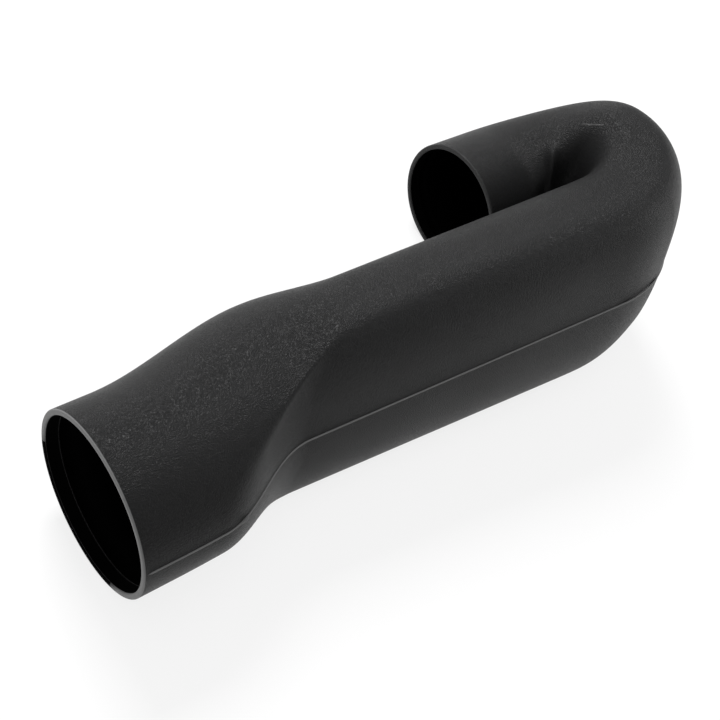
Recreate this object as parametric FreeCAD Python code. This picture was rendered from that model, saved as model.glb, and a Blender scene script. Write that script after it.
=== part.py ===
import FreeCAD, Part
import math
import os

# A blow-moulded intake snorkel: a round neck, a slanted shoulder, a tall narrow
# body and a tight return bend that ends in a second round mouth.
# Millimetres. The duct is drawn with its parting plane level, the neck's axis
# along +X and the return leg on the +Y side, and is then laid as it rests.

wall = 2.5                  # moulded wall
front_bore = 70.0           # inside of the front mouth
front_socket_depth = 12.0   # true round stretch inside the front mouth
return_bore = 58.0          # inside of the return mouth
return_socket_depth = 10.0
socket_step = 0.5           # the wall closes in by this behind each round stretch
collar_length = 16.0        # plain round outside behind the front mouth

swell_length = 70.0         # over this length the neck changes from the mouth to the shoulder
swell_size = 10.0           # growth of the neck's radius where it swells most
swell_heading = 40.0        # that is this far above the far side, in degrees
near_draw = 2.2             # the neck draws in by this on its near side

shoulder_near = (34.0, 86.0)      # where the shoulder starts and ends on each side
shoulder_bottom = (45.0, 80.0)
shoulder_top = (80.0, 110.0)
shoulder_far = (94.0, 146.0)

bend_start = 264.0          # end of the straight body
body_near = (16.0, 24.0)    # reach of the body from the neck's axis, at shoulder and bend
body_far = (32.0, 26.0)
body_rise = (44.0, 48.0)    # height over the parting plane
body_drop = (44.5, 58.0)    # depth under it
top_fullness = 3.6          # exponents of the section: 2 is an ellipse, more is squarer
bottom_fullness = 2.2

return_offset = 74.0        # from the neck's axis to the return mouth's axis
return_end = 238.0          # the return mouth's plane
bend_half_width = 20.0      # section at the apex of the bend
bend_rise = 56.0
bend_drop = 35.0
bend_stretch = 1.15         # the bend is longer than a half circle by this

rest_roll = -18.0            # how the duct lies on a floor, in degrees
rest_pitch = -4.0

section_points = 28
leg_stations = 22
bend_stations = 10
return_stations = 3
cut_over = 1.0              # cutters pass a face by this


def blend(value, start, end):
    t = min(max((value - start) / (end - start), 0.0), 1.0)
    return t * t * (3.0 - 2.0 * t)


def between(pair, t):
    return pair[0] + (pair[1] - pair[0]) * t


def by_side(angle, near, top, far, bottom):
    """A value that runs smoothly round the section through its four sides."""
    across = math.cos(angle) ** 2
    upright = math.sin(angle) ** 2
    side = far if math.cos(angle) > 0 else near
    end = top if math.sin(angle) > 0 else bottom
    return side * across + end * upright


def oval(angle, near, far, rise, drop, top_power, bottom_power):
    """One point of a section whose four quarters are superellipses."""
    c, s = math.cos(angle), math.sin(angle)
    power = top_power if s > 0 else bottom_power
    y = math.copysign(abs(c) ** (2.0 / power), c) * (far if c > 0 else near)
    z = math.copysign(abs(s) ** (2.0 / power), s) * (rise if s > 0 else drop)
    return y, z


def neck_swell(angle):
    """Growth of the neck's radius: out towards the far top, in on the near side."""
    out = max(math.cos(angle - math.radians(swell_heading)), 0.0)
    near = max(-math.cos(angle), 0.0)
    return swell_size * out ** 3 - near_draw * near ** 2


angles = [2.0 * math.pi * (i / section_points - 0.25) for i in range(section_points)]


def leg_section(x, inset):
    """The neck, the shoulder and the body at x, drawn in by the inset."""
    t = min(max((x - shoulder_near[1]) / (bend_start - shoulder_near[1]), 0.0), 1.0)
    grown = blend(x, collar_length, collar_length + swell_length)
    points = []
    for a in angles:
        radius = front_bore / 2 + wall + neck_swell(a) * grown - inset
        start = by_side(a, shoulder_near[0], shoulder_top[0], shoulder_far[0], shoulder_bottom[0])
        end = by_side(a, shoulder_near[1], shoulder_top[1], shoulder_far[1], shoulder_bottom[1])
        weight = blend(x, start, end)
        y, z = oval(a, between(body_near, t) - inset, between(body_far, t) - inset,
                    between(body_rise, t) - inset, between(body_drop, t) - inset,
                    top_fullness, bottom_fullness)
        y = radius * math.cos(a) * (1.0 - weight) + y * weight
        z = radius * math.sin(a) * (1.0 - weight) + z * weight
        points.append(FreeCAD.Vector(x, y, z))
    return points


leg_middle = (body_far[1] - body_near[1]) / 2
leg_half_width = (body_far[1] + body_near[1]) / 2
bend_radius = (return_offset - leg_middle) / 2
bend_middle = leg_middle + bend_radius
return_radius = return_bore / 2 + wall


def through(start, middle, end, t):
    first = blend(t, 0.0, 0.5)
    last = blend(t, 0.5, 1.0)
    return start + (middle - start) * first + (end - middle) * last


def bend_section(t, inset):
    """The bend at t from 0 (end of the body) to 1 (start of the return leg)."""
    turn = math.pi * t
    half_width = through(leg_half_width, bend_half_width, return_radius, t) - inset
    rise = through(body_rise[1], bend_rise, return_radius, t) - inset
    drop = through(body_drop[1], bend_drop, return_radius, t) - inset
    round_off = blend(t, 0.1, 1.0)
    top_power = top_fullness + (2.0 - top_fullness) * round_off
    bottom_power = bottom_fullness + (2.0 - bottom_fullness) * round_off
    points = []
    for a in angles:
        across, z = oval(a, half_width, half_width, rise, drop, top_power, bottom_power)
        r = bend_radius - across
        x = bend_start + bend_stretch * r * math.sin(turn)
        y = bend_middle - r * math.cos(turn)
        points.append(FreeCAD.Vector(x, y, z))
    return points


def return_section(x, inset):
    r = return_radius - inset
    return [FreeCAD.Vector(x, return_offset - r * math.cos(a), r * math.sin(a)) for a in angles]


def stations(start, end, count):
    return [start + (end - start) * i / count for i in range(count)]


def lifted(points):
    """Poles that lead a smooth cubic curve through every point between the two ends."""
    return [b - (a - b * 2.0 + c) / 6.0 for a, b, c in zip(points, points[1:], points[2:])]


def skin(inset, first, last):
    """A solid inside one skin that closes along its underside, with two flat ends."""
    sections = [leg_section(x, inset) for x in stations(first, bend_start, leg_stations)]
    sections += [bend_section(t, inset) for t in stations(0.0, 1.0, bend_stations)]
    sections += [return_section(x, inset) for x in stations(bend_start, last, return_stations)]
    sections.append(return_section(last, inset))
    around = [lifted(points[-1:] + points + points[:1]) for points in sections]
    strips = [[strip[0]] + lifted(strip) + [strip[-1]] for strip in zip(*around)]
    poles = [list(row) for row in zip(*strips)]
    rows = len(poles)
    surface = Part.BSplineSurface()
    surface.buildFromPolesMultsKnots(
        poles, [4] + [1] * (rows - 4) + [4], [1] * (section_points + 1),
        [float(i) for i in range(rows - 2)], [float(i) for i in range(section_points + 1)],
        False, True, 3, 3)
    side = surface.toShape()
    first_edge, last_edge = [surface.uIso(u).toShape() for u in surface.bounds()[:2]]
    ends = [Part.Face(Part.Wire(edge)) for edge in (first_edge, last_edge)]
    shell = Part.makeCompound([side] + ends)
    shell.sewShape()
    return Part.makeSolid(shell.Shells[0])


along = FreeCAD.Vector(1, 0, 0)
across = FreeCAD.Vector(0, 1, 0)
origin = FreeCAD.Vector(0, 0, 0)

outside = skin(0.0, 0.0, return_end)
air = skin(wall + socket_step, front_socket_depth / 2, return_end + return_socket_depth / 2)
front_socket = Part.makeCylinder(front_bore / 2, front_socket_depth + cut_over,
                                 FreeCAD.Vector(-cut_over, 0, 0), along)
return_socket = Part.makeCylinder(return_bore / 2, return_socket_depth + cut_over,
                                  FreeCAD.Vector(return_end - cut_over, return_offset, 0), along)
duct = outside.cut(air.fuse([front_socket, return_socket]))

duct.rotate(origin, along, rest_roll)
duct.rotate(origin, across, rest_pitch)
laid = duct.optimalBoundingBox()
duct.translate(FreeCAD.Vector(-laid.Center.x, -laid.Center.y, -laid.ZMin))

os.makedirs("parts", exist_ok=True)
duct.exportStep("parts/snorkel_duct.step")
print(duct.isValid(), len(duct.Solids), duct.optimalBoundingBox(), round(duct.Volume))
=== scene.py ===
# %% [markdown]
# # A blow-moulded intake snorkel
# The object is one hollow plastic duct. A hot tube of plastic is blown out against two mould halves, so
# the outside carries the mould's leather grain and a thin raised line where the halves met. The packed
# CAD model comes in first. It fixes the size and the place of everything that follows.

# %% Load the frame
import math
import bpy
import numpy as np
from mathutils import Matrix, Vector


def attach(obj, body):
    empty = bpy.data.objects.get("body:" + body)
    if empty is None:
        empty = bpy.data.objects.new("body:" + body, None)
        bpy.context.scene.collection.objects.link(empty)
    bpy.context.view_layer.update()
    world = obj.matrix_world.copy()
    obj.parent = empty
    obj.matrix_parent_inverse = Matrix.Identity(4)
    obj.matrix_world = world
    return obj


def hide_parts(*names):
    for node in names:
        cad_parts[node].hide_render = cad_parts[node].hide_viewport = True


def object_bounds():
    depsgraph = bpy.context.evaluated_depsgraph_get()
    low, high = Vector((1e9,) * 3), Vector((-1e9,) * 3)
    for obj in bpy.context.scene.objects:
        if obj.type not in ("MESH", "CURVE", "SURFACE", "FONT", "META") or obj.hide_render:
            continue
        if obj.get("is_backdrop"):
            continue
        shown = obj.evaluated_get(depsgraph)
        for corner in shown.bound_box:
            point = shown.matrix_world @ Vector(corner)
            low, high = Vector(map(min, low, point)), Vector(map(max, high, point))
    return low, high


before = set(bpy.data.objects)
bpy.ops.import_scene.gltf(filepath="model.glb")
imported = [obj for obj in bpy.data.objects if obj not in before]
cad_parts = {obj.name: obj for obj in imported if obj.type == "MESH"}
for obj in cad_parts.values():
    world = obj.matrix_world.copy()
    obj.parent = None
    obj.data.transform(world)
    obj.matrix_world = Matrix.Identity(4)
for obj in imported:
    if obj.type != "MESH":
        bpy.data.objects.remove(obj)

cad_low, cad_high = (np.array(corner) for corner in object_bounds())
print("CAD box in mm", np.round(1000 * (cad_high - cad_low), 1))

# %% [markdown]
# ## One section of the duct
# Every cut across the duct is a closed curve that is widest on the parting plane, because a mould can
# only open if nothing is undercut. Such a curve could be drawn by hand. Four quarters of a superellipse
# give it with a few numbers: an exponent of 2 is an ellipse, and a larger one is squarer. Angles run round
# a section from the far side over the top to the near side. Lengths are millimetres until the duct is laid
# down. All functions take whole arrays, so a full surface is one call.

# %% Section functions
WALL = 2.5
FRONT_BORE = 70.0
RETURN_BORE = 58.0
COLUMNS = 160
SIDE_POWER, CREASE_POWER = 2.0, 3.0
around = np.linspace(0, 2 * math.pi, COLUMNS, endpoint=False)


def blend(value, start, end):
    """Smooth step from 0 at start to 1 at end: 3 t squared minus 2 t cubed."""
    t = np.clip((value - start) / (end - start), 0.0, 1.0)
    return t * t * (3.0 - 2.0 * t)


def by_side(angle, near, top, far, bottom):
    """Top or bottom value times a power of the sine, plus near or far value times the rest up to 1."""
    side = np.where(np.cos(angle) > 0, far, near)
    end = np.where(np.sin(angle) > 0, top, bottom)
    near_top = (np.cos(angle) < 0) & (np.sin(angle) > 0)
    upright = np.abs(np.sin(angle)) ** np.where(near_top, CREASE_POWER, SIDE_POWER)
    return side * (1 - upright) + end * upright


def oval(angle, near, far, rise, drop, top_power, bottom_power):
    """Superellipse quarters: each half-size times the cosine or sine to the power 2 over the exponent."""
    c, s = np.cos(angle), np.sin(angle)
    power = 2.0 / np.where(s > 0, top_power, bottom_power)
    y = np.sign(c) * np.abs(c) ** power * np.where(c > 0, far, near)
    z = np.sign(s) * np.abs(s) ** power * np.where(s > 0, rise, drop)
    return y, z


print("points round a section", COLUMNS, "bores in mm", FRONT_BORE, RETURN_BORE)

# %% [markdown]
# ## Neck, shoulder and body
# The neck starts as a true circle and swells towards its far top. At the shoulder it changes to the
# tall narrow body, early on the near side and late on the far side, which gives the slanted crease. A loft
# between two drawn curves would change everywhere at once. Here the change is a blend whose place depends
# on the angle round the section, so the crease can slant.

# %% Main leg
SHOULDER = {"near": (34.0, 86.0), "top": (80.0, 110.0), "far": (94.0, 146.0), "bottom": (45.0, 80.0)}
SWELL_SIZE, SWELL_HEADING, NEAR_DRAW = 10.0, math.radians(40.0), 2.2
BODY = {"near": (16.0, 24.0), "far": (32.0, 26.0), "rise": (44.0, 48.0), "drop": (44.5, 58.0)}
TOP_POWER, BOTTOM_POWER = 3.6, 2.2
NEAR_TOP_POWER = 2.8
COLLAR, SWELL_LENGTH, BEND_START = 16.0, 70.0, 264.0


def neck_swell(angle):
    """Cosine cubed about the far top pushes the neck out, cosine squared draws its near side in."""
    out = np.clip(np.cos(angle - SWELL_HEADING), 0.0, 1.0)
    near = np.clip(-np.cos(angle), 0.0, 1.0)
    return SWELL_SIZE * out ** 3 - NEAR_DRAW * near ** 2


def top_power(x, angle):
    """The exponent of the upper half: square on the far side, rounder on the near side until the bend."""
    near = NEAR_TOP_POWER + (TOP_POWER - NEAR_TOP_POWER) * blend(x, SHOULDER["far"][1], BEND_START)
    return np.where(np.cos(angle) > 0, TOP_POWER, near)


def main_leg(x, angle, inset):
    """Circle times (1 - weight) plus body oval times weight, at x along the neck's axis."""
    t = np.clip((x - SHOULDER["near"][1]) / (BEND_START - SHOULDER["near"][1]), 0.0, 1.0)
    grown = blend(x, COLLAR, COLLAR + SWELL_LENGTH)
    radius = FRONT_BORE / 2 + WALL + neck_swell(angle) * grown - inset
    start, end = (by_side(angle, **{k: v[i] for k, v in SHOULDER.items()}) for i in (0, 1))
    weight = blend(x, start, end)
    sizes = {k: v[0] + (v[1] - v[0]) * t - inset for k, v in BODY.items()}
    y, z = oval(angle, top_power=top_power(x, angle), bottom_power=BOTTOM_POWER, **sizes)
    y = radius * np.cos(angle) * (1 - weight) + y * weight
    z = radius * np.sin(angle) * (1 - weight) + z * weight
    return np.stack([x + 0 * y, y, z], -1)


for x in (0.0, BEND_START):
    print("section at", x, "mm is", np.round(np.ptp(main_leg(x, around, 0.0), axis=0)[1:], 1), "mm")

# %% [markdown]
# ## The bend and the return leg
# The body turns back on itself in a half circle that is stretched a little along the duct. On the way
# the tall section becomes the round return mouth. A curve with a bevel would keep one section all the
# way, so the bend has its own formula, with half-sizes that change on the way round.

# %% Bend and return leg
RETURN_OFFSET, RETURN_END = 74.0, 238.0
APEX = {"half": 20.0, "rise": 56.0, "drop": 35.0}
STRETCH = 1.15
ROUND_OFF = (0.1, 1.0)
LEG_MIDDLE = (BODY["far"][1] - BODY["near"][1]) / 2
LEG_HALF = (BODY["far"][1] + BODY["near"][1]) / 2
BEND_RADIUS = (RETURN_OFFSET - LEG_MIDDLE) / 2
RETURN_RADIUS = RETURN_BORE / 2 + WALL


def through(start, middle, end, t):
    """Two smooth steps, from start to middle at one half and on to end at 1."""
    return start + (middle - start) * blend(t, 0.0, 0.5) + (end - middle) * blend(t, 0.5, 1.0)


def bend(t, angle, inset):
    """An oval carried round a half circle, with the circle stretched along the duct."""
    turn = math.pi * t
    half = through(LEG_HALF, APEX["half"], RETURN_RADIUS, t) - inset
    rise = through(BODY["rise"][1], APEX["rise"], RETURN_RADIUS, t) - inset
    drop = through(BODY["drop"][1], APEX["drop"], RETURN_RADIUS, t) - inset
    powers = (p + (2.0 - p) * blend(t, *ROUND_OFF) for p in (TOP_POWER, BOTTOM_POWER))
    across, z = oval(angle, half, half, rise, drop, *powers)
    r = BEND_RADIUS - across
    x = BEND_START + STRETCH * r * np.sin(turn)
    return np.stack([x, LEG_MIDDLE + BEND_RADIUS - r * np.cos(turn), z], -1)


def return_leg(x, angle, inset):
    """A straight round tube that runs back beside the body."""
    r = RETURN_RADIUS - inset
    y = RETURN_OFFSET - r * np.cos(angle)
    return np.stack([x + 0 * y, y, r * np.sin(angle) + 0 * x], -1)


def duct(place, angle, inset):
    """The whole path: place is 0 to 1 on the main leg, 1 to 2 round the bend, 2 to 3 on the return leg."""
    place, angle, inset = np.broadcast_arrays(place, angle, inset)
    leg = main_leg(BEND_START * np.clip(place, 0, 1), angle, inset)
    turn = bend(np.clip(place - 1, 0, 1), angle, inset)
    back = return_leg(BEND_START + (RETURN_END - BEND_START) * np.clip(place - 2, 0, 1), angle, inset)
    return np.where(place[..., None] <= 1, leg, np.where(place[..., None] < 2, turn, back))


print("the bend reaches", np.round(duct(1.5, around, 0.0)[:, 0].max(), 1), "mm from the front mouth")

# %% [markdown]
# ## Rows along the duct
# One closed mesh goes along the outside from the front mouth to the return mouth, over the trimmed rim,
# back along the inside and over the front rim to where it began. A Solidify modifier could give the wall,
# but not the trimmed rims. Each row here is a place along the duct and an inset from the outside, so the
# small roundings of a rim, the faint ring in the mouth and the step behind the socket are only more rows.

# %% Rows of the skin
RIM_ROUND, ROUND_ROWS = 0.7, 6
RING_DEPTH, RING_SIZE = 6.0, 0.25
FRONT_SOCKET, RETURN_SOCKET = 12.0, 10.0
SOCKET_STEP, STEP_LENGTH = 0.5, 0.4
SKIN_ROWS, LAST_OUTSIDE = (190, 130, 14), 0.9
FIRST_INSIDE, LAST_INSIDE, INSIDE_STRIDE = 0.06, 2.58, 3


def along_duct(first, counts, last):
    """Even places on each stretch, from a first one on the main leg to a last share of the return leg."""
    leg, turn, back = counts
    return np.concatenate([np.linspace(first, 1, leg),
                           1 + np.linspace(0, 1, turn)[1:],
                           2 + np.linspace(0, last, back)[1:]])


def rim_rows(socket, length, sign, end):
    """Rows over a rim, outside to inside: quarter round, flat, quarter round, ring, socket and step."""
    q = np.linspace(0, math.pi / 2, ROUND_ROWS)
    ring = RING_DEPTH + RING_SIZE * np.array([-1.0, 0.0, 1.0])
    outer, inner = RIM_ROUND * (1 - np.sin(q)), RIM_ROUND * (1 - np.cos(q))
    depth = np.concatenate([outer, inner, ring, [socket, socket + STEP_LENGTH]])
    inset = np.concatenate([inner, WALL - outer, [WALL, WALL + RING_SIZE, WALL], [WALL, WALL + SOCKET_STEP]])
    trim = np.zeros(len(depth))
    trim[1:2 * ROUND_ROWS - 1] = 1.0
    return end + sign * depth / length, inset, trim


outside = along_duct(COLLAR / 2 / BEND_START, SKIN_ROWS, LAST_OUTSIDE)
inside = outside[(outside > FIRST_INSIDE) & (outside < LAST_INSIDE)][::-INSIDE_STRIDE]
front = rim_rows(FRONT_SOCKET, BEND_START, 1, 0.0)
back = rim_rows(RETURN_SOCKET, BEND_START - RETURN_END, -1, 3.0)
row_place = np.concatenate([outside, back[0], inside, front[0][::-1]])
row_inset = np.concatenate([0 * outside, back[1], 0 * inside + WALL + SOCKET_STEP, front[1][::-1]])
print("rows outside", len(outside), "inside", len(inside), "over the rims", len(front[0]) + len(back[0]))

# %% [markdown]
# ## The fold in the bend's eye
# Where a blown wall turns tightly, the plastic on the inner side is crowded together and folds. The fold
# is a rounded ridge that slants across the eye of the bend, with a dent beside it. It could be
# sculpted, but a Gaussian ridge that is taken off the inset stays part of the same grid. Where the body
# meets the bend the two formulas nearly agree in place, but not in curvature, which would show as a line
# in the gloss. Averaging the rows near that joint spreads it out.

# %% Fold and skin
FOLD = {"place": 1.66, "slant": 0.0023, "width": 0.042, "height": 2.2}
FOLD_TOP, FOLD_UNDER = (70.0, 45.0), (-30.0, 0.0)
DENT = {"place": 1.56, "length": 0.07, "degrees": 24.0, "spread": 20.0, "depth": 1.0}
JOINT_REACH, JOINT_PASSES = 0.12, 60


def eye_fold(place, angle):
    """A Gaussian ridge slanting over the bend's inner side, faded at both ends, less a Gaussian dent."""
    degrees = (np.degrees(angle) + 180.0) % 360.0 - 180.0
    ridge = np.exp(-((place - FOLD["place"] - FOLD["slant"] * degrees) / FOLD["width"]) ** 2)
    ridge = ridge * blend(degrees, *FOLD_TOP) * blend(degrees, *FOLD_UNDER)
    far_along = (place - DENT["place"]) / DENT["length"]
    far_round = (degrees - DENT["degrees"]) / DENT["spread"]
    return FOLD["height"] * ridge - DENT["depth"] * np.exp(-far_along ** 2 - far_round ** 2)


def relaxed(points, rows, passes):
    """Rows averaged with a quarter of each neighbour, many times, which spreads a jump in curvature."""
    points = points.copy()
    for _ in range(passes):
        points[rows] = (points[rows - 1] + 2 * points[rows] + points[rows + 1]) / 4
    return points


fold = eye_fold(row_place[:, None], around[None, :]) * (row_inset[:, None] == 0)
joint_rows = np.flatnonzero((row_inset == 0) & (np.abs(row_place - 1) < JOINT_REACH))
drawn = duct(row_place[:, None], around[None, :], row_inset[:, None] - fold)
skin = relaxed(drawn, joint_rows, JOINT_PASSES)
print("skin rows and columns", skin.shape[:2], "averaged rows", len(joint_rows))

# %% [markdown]
# ## Laying it down
# The duct can't stand. It lies on the underside of the body and on the return mouth, rolled towards the
# return leg. The object could be rotated for this, but the export wants pieces that sit unrotated at the
# origin, so the points themselves are turned. They are then moved so that their box meets the CAD model's.

# %% Rest pose
ROLL, PITCH = math.radians(-18.0), math.radians(-4.0)
turn = np.array(Matrix.Rotation(PITCH, 3, "Y") @ Matrix.Rotation(ROLL, 3, "X"))
rolled = skin.reshape(-1, 3) @ turn.T / 1000
low, high = rolled.min(0), rolled.max(0)
shift = np.append(((cad_low + cad_high) / 2 - (low + high) / 2)[:2], cad_low[2] - low[2])
print("skin differs from the CAD box by mm", np.round(1000 * ((high - low) - (cad_high - cad_low)), 2))


def laid(points):
    """Drawing millimetres to metres in the frame: turn, then shift."""
    return points @ turn.T / 1000 + shift


# %% [markdown]
# ## From a grid to a mesh
# The duct and its parting lines are all grids of points whose columns close on themselves. One helper
# turns such a grid into a smooth mesh. It numbers the corners of all faces with whole arrays, and then
# turns the faces round if the volume inside them comes out negative, so they always face outwards.

# %% Mesh helper
def grid_faces(rows, cols, close_rows):
    """Four corners a face: a point and its neighbour round the section, then the same pair one row on."""
    i = np.arange(rows if close_rows else rows - 1)[:, None]
    j = np.arange(cols)[None, :]
    this_row, next_row, next_col = i * cols, (i + 1) % rows * cols, (j + 1) % cols
    corners = [this_row + j, this_row + next_col, next_row + next_col, next_row + j]
    return np.stack(corners, -1).reshape(-1, 4)


def outward(points, faces):
    """The faces as they are, or turned round where their enclosed volume is negative."""
    centred = points - points.mean(0)
    a, b, c, d = (centred[faces[:, k]] for k in range(4))
    volume = np.einsum("ij,ij->i", (a + c) / 2, np.cross(c - a, d - b)).sum()
    return faces[:, ::-1] if volume < 0 else faces


def grid_object(name, points, close_rows):
    """A smooth mesh from a grid of points whose columns close, as a piece of the part's one body."""
    flat = points.reshape(-1, 3)
    mesh = bpy.data.meshes.new(name)
    mesh.from_pydata(flat, [], outward(flat, grid_faces(*points.shape[:2], close_rows)))
    mesh.shade_smooth()
    thing = bpy.data.objects.new(name, mesh)
    bpy.context.scene.collection.objects.link(thing)
    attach(thing, "root")
    print(name, len(mesh.vertices), "points", len(mesh.polygons), "faces")
    return thing


duct_skin = grid_object("duct_skin", laid(skin), True)
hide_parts("snorkel_duct")

# %% [markdown]
# ## The trimmed rims
# Both mouths are trimmed after moulding. The cut plastic of the front rim catches the light and looks
# pale. On its lower far side the rim is given painted shade, which fades it to nearly black. The return
# rim is far darker. Paint on vertices could mark the cut. An attribute that is worked out for each point
# does it from the rows that make the rims, with the painted shade from the angle round the section, and
# the material reads it later.

# %% Pale rims with painted shade
RETURN_PALE = 0.12
# Painted shade: the rim's value fades towards its lower far side, down to nearly black.
PAINTED_SHADE_SIDE, PAINTED_SHADE_EDGE, PAINTED_SHADE_DARKEST = math.radians(-55.0), (0.62, 0.42), 0.1
row_trim = np.concatenate([0 * outside, RETURN_PALE * back[2], 0 * inside, front[2][::-1]])
rim_painted_shade_scale = PAINTED_SHADE_DARKEST + (1 - PAINTED_SHADE_DARKEST) * blend(np.cos(around - PAINTED_SHADE_SIDE), *PAINTED_SHADE_EDGE)
layer = duct_skin.data.attributes.new("trim", "FLOAT", "POINT")
layer.data.foreach_set("value", (row_trim[:, None] * rim_painted_shade_scale).astype(np.float32).ravel())
print("rim rows", np.count_nonzero(row_trim), "of", len(row_trim))

# %% [markdown]
# ## The parting line
# Where the mould halves met, a thin line of plastic stands proud of both sides of the duct. It could be a
# bevelled curve, but a grid follows the same formulas as the skin. It is a bead with an oval section,
# half sunk in the wall, carried along the widest line of the outside and over the fold. A small pip stands
# on the near line where the neck ends.

# %% Parting line beads
BEAD_HALF, BEAD_HIGH, BEAD_SIDES = 0.5, 0.4, 12
BEAD_ROWS, BEAD_START, BEAD_LAST = (200, 90, 12), 1.5, 0.94
PIP_PLACE, PIP_LONG, PIP_HIGH = 43.0, 1.6, 1.1


def bead(name, angle, sign, pip):
    """An oval swept along the skin's widest line: outwards by the sine, up and down by the cosine."""
    way = along_duct(BEAD_START / BEND_START, BEAD_ROWS, BEAD_LAST)
    line = duct(way, angle, -eye_fold(way, angle))
    run = np.gradient(line, axis=0)
    out = sign * np.stack([run[:, 1], -run[:, 0], 0 * way], -1)
    out /= np.linalg.norm(out, axis=1, keepdims=True)
    high = BEAD_HIGH + pip * np.exp(-((line[:, 0] - PIP_PLACE) / PIP_LONG) ** 2) * (way < 1)
    ends = np.ones(len(way))
    ends[[0, -1]] = 0.0
    q = np.linspace(0, 2 * math.pi, BEAD_SIDES, endpoint=False)
    points = line[:, None] + out[:, None] * (np.sin(q) * (high * ends)[:, None])[..., None]
    points = points + np.array([0, 0, 1.0]) * (np.cos(q) * BEAD_HALF * ends[:, None])[..., None]
    return grid_object(name, laid(points), False)


near_bead = bead("parting_line_outer", math.pi, 1, PIP_HIGH)
far_bead = bead("parting_line_inner", 0.0, -1, 0.0)

# %% [markdown]
# ## Shader helper
# A material's maths is a tree of nodes and links, which reads badly as code. One small class wraps a socket
# and lets ordinary arithmetic build the maths nodes. Every other node comes from its one method, which
# takes the settings first and then the values or links by socket name or number.

# %% Shader class
class Value:
    """A shader socket that adds, subtracts and multiplies like a number."""

    def __init__(self, tree, socket):
        self.tree, self.socket = tree, socket

    def node(self, kind, settings=(), out=0, **inputs):
        """A new node: settings first, then values or links by socket name, or by i and its number."""
        made = self.tree.nodes.new(kind)
        for key, value in dict(settings).items():
            setattr(made, key, value)
        for key, value in inputs.items():
            numbered = key[1:].isdigit()
            target = made.inputs[int(key[1:]) if numbered else key.replace("_", " ")]
            if isinstance(value, Value):
                self.tree.links.new(value.socket, target)
            else:
                target.default_value = value
        return Value(self.tree, made.outputs[out])

    def math(self, operation, first, second):
        """A maths node of two values or sockets."""
        return self.node("ShaderNodeMath", {"operation": operation}, i0=first, i1=second)

    def __add__(self, other):
        return self.math("ADD", self, other)

    def __sub__(self, other):
        return self.math("SUBTRACT", self, other)

    def __rsub__(self, other):
        return self.math("SUBTRACT", other, self)

    def __mul__(self, other):
        return self.math("MULTIPLY", self, other)

    __radd__ = __add__
    __rmul__ = __mul__


def principled(name, **constants):
    """A Principled material with its constants set on its own sockets."""
    made = bpy.data.materials.new(name)
    made.use_nodes = True
    surface = made.node_tree.nodes["Principled BSDF"]
    for key, value in constants.items():
        surface.inputs[key.replace("_", " ")].default_value = value
    print("material", name)
    return made, surface


# %% [markdown]
# ## Grained plastic
# The plastic is near black and half matt. The mould's leather grain is a net of shallow cells under a
# millimetre wide. Real geometry that fine would need millions of faces, so the grain is a bump from the
# distance to the edges of Voronoi cells, broken up with noise. A slow noise lets the gloss vary a little.
# The cut on the front rim has almost no grain.

# %% Grain and gloss
BLACK = (0.0065, 0.0065, 0.0067, 1)
PLASTIC_SPECULAR = 0.12
CELL_SCALE, CELL_SHARE = 1500.0, 0.8
WANDER_SCALE, WANDER_SHARE = 1300.0, 0.6
GRAIN_STRENGTH, GRAIN_HEIGHT = 0.7, 0.0006
CLOUD_SCALE, CLOUD_SHARE, ROUGHNESS = 22.0, 0.14, 0.34
plastic, shader = principled("black_plastic", Base_Color=BLACK, Specular_IOR_Level=PLASTIC_SPECULAR)
tree = plastic.node_tree
start = Value(tree, None)
where = start.node("ShaderNodeTexCoord", out=3)
# This attribute is the pale cut, with painted shade on the front rim's lower far side.
cut_with_painted_shade = start.node("ShaderNodeAttribute", {"attribute_name": "trim"}, out=2)
wander = start.node("ShaderNodeTexNoise", Vector=where, Scale=WANDER_SCALE, Detail=2.0)
cells = start.node("ShaderNodeTexVoronoi", {"feature": "DISTANCE_TO_EDGE"}, Vector=where, Scale=CELL_SCALE)
cloud = start.node("ShaderNodeTexNoise", Vector=where, Scale=CLOUD_SCALE, Detail=4.0)
height = (cells * CELL_SHARE + wander * WANDER_SHARE) * (1.0 - cut_with_painted_shade)
bump = start.node("ShaderNodeBump", Strength=GRAIN_STRENGTH, Distance=GRAIN_HEIGHT, Height=height)
tree.links.new((cloud * CLOUD_SHARE + ROUGHNESS).socket, shader.inputs["Roughness"])
tree.links.new(bump.socket, shader.inputs["Normal"])
print("grain nodes", len(tree.nodes))

# %% [markdown]
# ## Cut rims and a scuff
# The cut rims are paler than the moulded skin, and a short scratch has scuffed the top of the bend. Both
# could be painted in an image. The rims come from the attribute on the points instead, and the scratch from
# the distance to a line between two points on the skin, so neither needs a picture or an unwrapped mesh.

# %% Colour
CUT_PALE, SCUFF_PALE = (0.12, 0.12, 0.12, 1), (0.05, 0.05, 0.05, 1)
SCUFF_PLACES, SCUFF_ANGLE, SCUFF_WIDTH = np.array([1.63, 1.50]), math.radians(63.5), 0.0005


def near_line(start, where, first, last, width):
    """1 on the line between two points and 0 at the width, by the distance to its nearest point."""
    run = last - first
    vector = "ShaderNodeVectorMath"
    offset = start.node(vector, {"operation": "SUBTRACT"}, i0=where, i1=tuple(first))
    share = start.node(vector, {"operation": "DOT_PRODUCT"}, out=1, i0=offset, i1=tuple(run / (run @ run)))
    held = start.node("ShaderNodeClamp", Value=share)
    nearest = start.node(vector, {"operation": "SCALE"}, i0=tuple(run), Scale=held)
    away = start.node(vector, {"operation": "DISTANCE"}, out=1, i0=offset, i1=nearest)
    return start.node("ShaderNodeMapRange", Value=away, From_Max=width, To_Min=1.0, To_Max=0.0)


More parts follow.
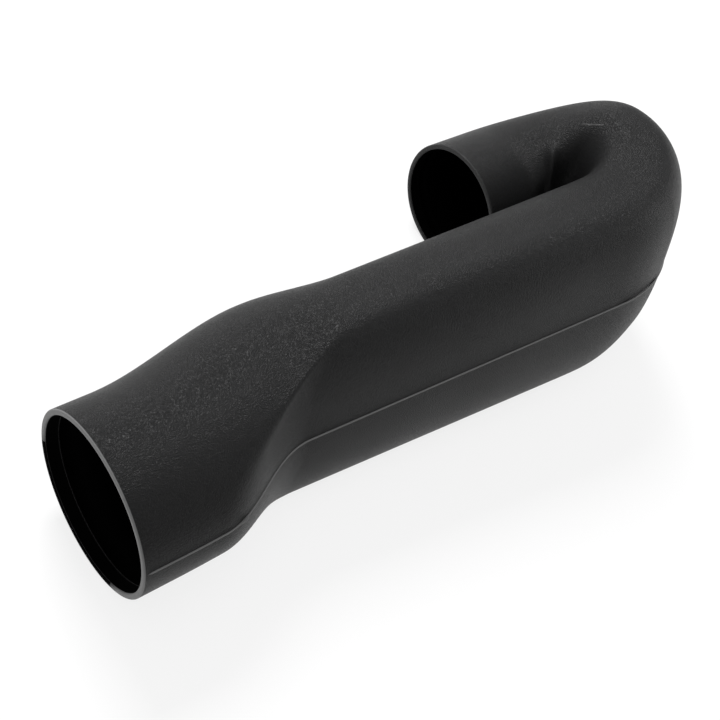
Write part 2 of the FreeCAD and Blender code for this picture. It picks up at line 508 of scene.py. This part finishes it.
scuff_from, scuff_to = laid(duct(SCUFF_PLACES, SCUFF_ANGLE, 0.0))
scuff = near_line(start, where, scuff_from, scuff_to, SCUFF_WIDTH)
mix = {"data_type": "RGBA"}
# The pale cut colour, faded to black where the rim has painted shade.
cut_colour = start.node("ShaderNodeMix", mix, out=2, Factor=cut_with_painted_shade, i6=BLACK, i7=CUT_PALE)
colour = start.node("ShaderNodeMix", mix, out=2, Factor=scuff, i6=cut_colour, i7=SCUFF_PALE)
tree.links.new(colour.socket, shader.inputs["Base Color"])
print("scuff length in mm", np.round(1000 * np.linalg.norm(scuff_to - scuff_from), 1))

# %% [markdown]
# ## Painted shade inside and the pale edge
# Inside the duct hardly any light comes back. Its faces are given painted shade: a darker, duller copy of
# the plastic as a material of their own, and so is the painted dark side of the rims. The ring in the front
# mouth keeps the outside's plastic, which lets it show as a faint line. The parting lines look paler than
# the skin. Faces are chosen by their rows.

# %% Other materials
# Where the rim's painted shade is deepest, its faces also take the painted shade material of the inside.
RIM_PAINTED_SHADE_LIMIT = 0.3
PAINTED_SHADE_BLACK, EDGE_GREY = (0.0006, 0.0006, 0.0006, 1), (0.11, 0.11, 0.11, 1)
# Painted shade: the inside is the same plastic, given as a near black, dull copy of it.
inside_painted_shade, _ = principled("duct_inside_painted_shade", Base_Color=PAINTED_SHADE_BLACK, Roughness=0.7, Specular_IOR_Level=0.01)
flash, _ = principled("parting_edge", Base_Color=EDGE_GREY, Roughness=0.6, Specular_IOR_Level=0.2)
duct_skin.data.materials.append(plastic)
duct_skin.data.materials.append(inside_painted_shade)
for thing in (near_bead, far_bead):
    thing.data.materials.append(flash)
next_inset = np.roll(row_inset, -1)
shallow, deep = np.minimum(row_inset, next_inset), np.maximum(row_inset, next_inset)
ring_row = (shallow == WALL) & (deep == WALL + RING_SIZE) & (row_place < 1)
inner_row = (shallow >= WALL) & ~ring_row
# Painted shade faces: every inside row, and the rim faces where the painted shade is deepest.
painted_shade_face = inner_row[:, None] | ((row_trim > 0)[:, None] & (rim_painted_shade_scale < RIM_PAINTED_SHADE_LIMIT))
duct_skin.data.polygons.foreach_set("material_index", painted_shade_face.astype(np.int32).ravel())
print("dark faces", np.count_nonzero(painted_shade_face), "of", painted_shade_face.size)

# %% [markdown]
# ## Floor
# The object lies on a plain pale floor. To the camera, and in mirrored and refracted rays, the floor is
# mostly plain white, with a share of the lit floor left in so that the shadow shows. To every other ray it
# is an ordinary pale surface, so the white takes no stronger lamps.

# %% Floor
FLOOR_HALF, FLOOR_GREY, FLOOR_WHITE = 3.0, (0.75, 0.75, 0.75, 1), 0.8
corners = [(x * FLOOR_HALF, y * FLOOR_HALF, 0) for x, y in ((-1, -1), (1, -1), (1, 1), (-1, 1))]
floor_mesh = bpy.data.meshes.new("floor")
floor_mesh.from_pydata(corners, [], [(0, 1, 2, 3)])
floor = bpy.data.objects.new("floor", floor_mesh)
bpy.context.scene.collection.objects.link(floor)
floor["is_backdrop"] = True
pale, floor_shader = principled("floor", Base_Color=FLOOR_GREY, Roughness=0.9)
floor_tree = pale.node_tree
rays = floor_tree.nodes.new("ShaderNodeLightPath")
kinds = ("Camera", "Glossy", "Transmission")
seen = sum(Value(floor_tree, rays.outputs[f"Is {kind} Ray"]) for kind in kinds)
lit = Value(floor_tree, floor_shader.outputs[0])
white = lit.node("ShaderNodeEmission", Strength=1.0)
surface = lit.node("ShaderNodeMixShader", i0=seen * FLOOR_WHITE, i1=lit, i2=white)
floor_tree.links.new(surface.socket, floor_tree.nodes["Material Output"].inputs["Surface"])
floor_mesh.materials.append(pale)
print("floor", 2 * FLOOR_HALF, "m wide, white share", FLOOR_WHITE)

# %% [markdown]
# ## Light
# The picture has soft studio light with no hard shadow. One strong lamp would draw a hard one, so an even
# world fills in from all round. A large soft box over the neck, a smaller one behind and one at the bend's
# end draw the long highlights on the plastic.

# %% World and soft boxes
WORLD_STRENGTH = 0.52
MIDDLE = (0, 0, 0.05)
world = bpy.data.worlds.new("studio")
bpy.context.scene.world = world
world.use_nodes = True
world.node_tree.nodes["Background"].inputs["Color"].default_value = (1, 1, 1, 1)
world.node_tree.nodes["Background"].inputs["Strength"].default_value = WORLD_STRENGTH


def soft_box(name, place, aim, size, power):
    """A square area light at a place in metres, turned so that its -Z axis points to the aim."""
    lamp = bpy.data.lights.new(name, "AREA")
    lamp.size, lamp.energy = size, power
    thing = bpy.data.objects.new(name, lamp)
    bpy.context.scene.collection.objects.link(thing)
    facing = (Vector(aim) - Vector(place)).to_track_quat("-Z", "Y").to_matrix()
    thing.matrix_world = Matrix.Translation(place) @ facing.to_4x4()
    print("soft box", name, size, "m", power, "W")


soft_box("key", place=(-0.5, -0.2, 1.5), aim=(0, 0, 0), size=1.0, power=6)
soft_box("back", place=(0.07, 0.96, 1.15), aim=MIDDLE, size=0.5, power=33)
soft_box("side", place=(1.4, -0.4, 0.4), aim=MIDDLE, size=1.0, power=6.5)

# %% [markdown]
# ## Camera
# The camera was solved from the photograph: both mouths are true circles on parallel axes, and the
# parting line is flat. A camera could be moved by eye, but a solved one lets the outlines be compared. Its
# direction and place are given in the drawing's own axes and then laid down with the duct.

# %% Camera
FOCAL_PIXELS, IMAGE, SENSOR = 1200.0, 720.0, 36.0
ELEVATION, TILT, HEADING = (math.radians(a) for a in (42.79, 9.19, 44.34))
MOUTH_PIXEL, MOUTH_DEPTH = (90.4, 505.6), 432.4
level = np.array([1.0, 0, 0])
upright = np.array([0, math.sin(ELEVATION), math.cos(ELEVATION)])
ahead = np.array([0, math.cos(ELEVATION), -math.sin(ELEVATION)])
right = math.cos(TILT) * level + math.sin(TILT) * upright
up = math.cos(TILT) * upright - math.sin(TILT) * level
across = (MOUTH_PIXEL[0] - IMAGE / 2) / FOCAL_PIXELS
above = (IMAGE / 2 - MOUTH_PIXEL[1]) / FOCAL_PIXELS
mouth = MOUTH_DEPTH * (across * right + above * up + ahead)
swing = np.array(Matrix.Rotation(HEADING, 3, "Z"))
axes = turn @ swing.T @ np.stack([right, up, -ahead], 1)
camera_data = bpy.data.cameras.new("camera")
camera_data.sensor_width = SENSOR
camera_data.lens = SENSOR * FOCAL_PIXELS / IMAGE
camera = bpy.data.objects.new("camera", camera_data)
bpy.context.scene.collection.objects.link(camera)
camera.matrix_world = Matrix.Translation(laid(-(swing.T @ mouth))) @ Matrix(axes.tolist()).to_4x4()
bpy.context.scene.camera = camera
bpy.context.scene.view_settings.view_transform = "Standard"
print("camera at", np.round(camera.matrix_world.translation, 3))

# %% [markdown]
# ## Sizes
# The last step measures everything that was made and keeps it beside the CAD model's box, so that a
# difference in size shows at once.

# %% Sizes
low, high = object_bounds()
print("visual box in mm", np.round(1000 * (np.array(high) - np.array(low)), 1))
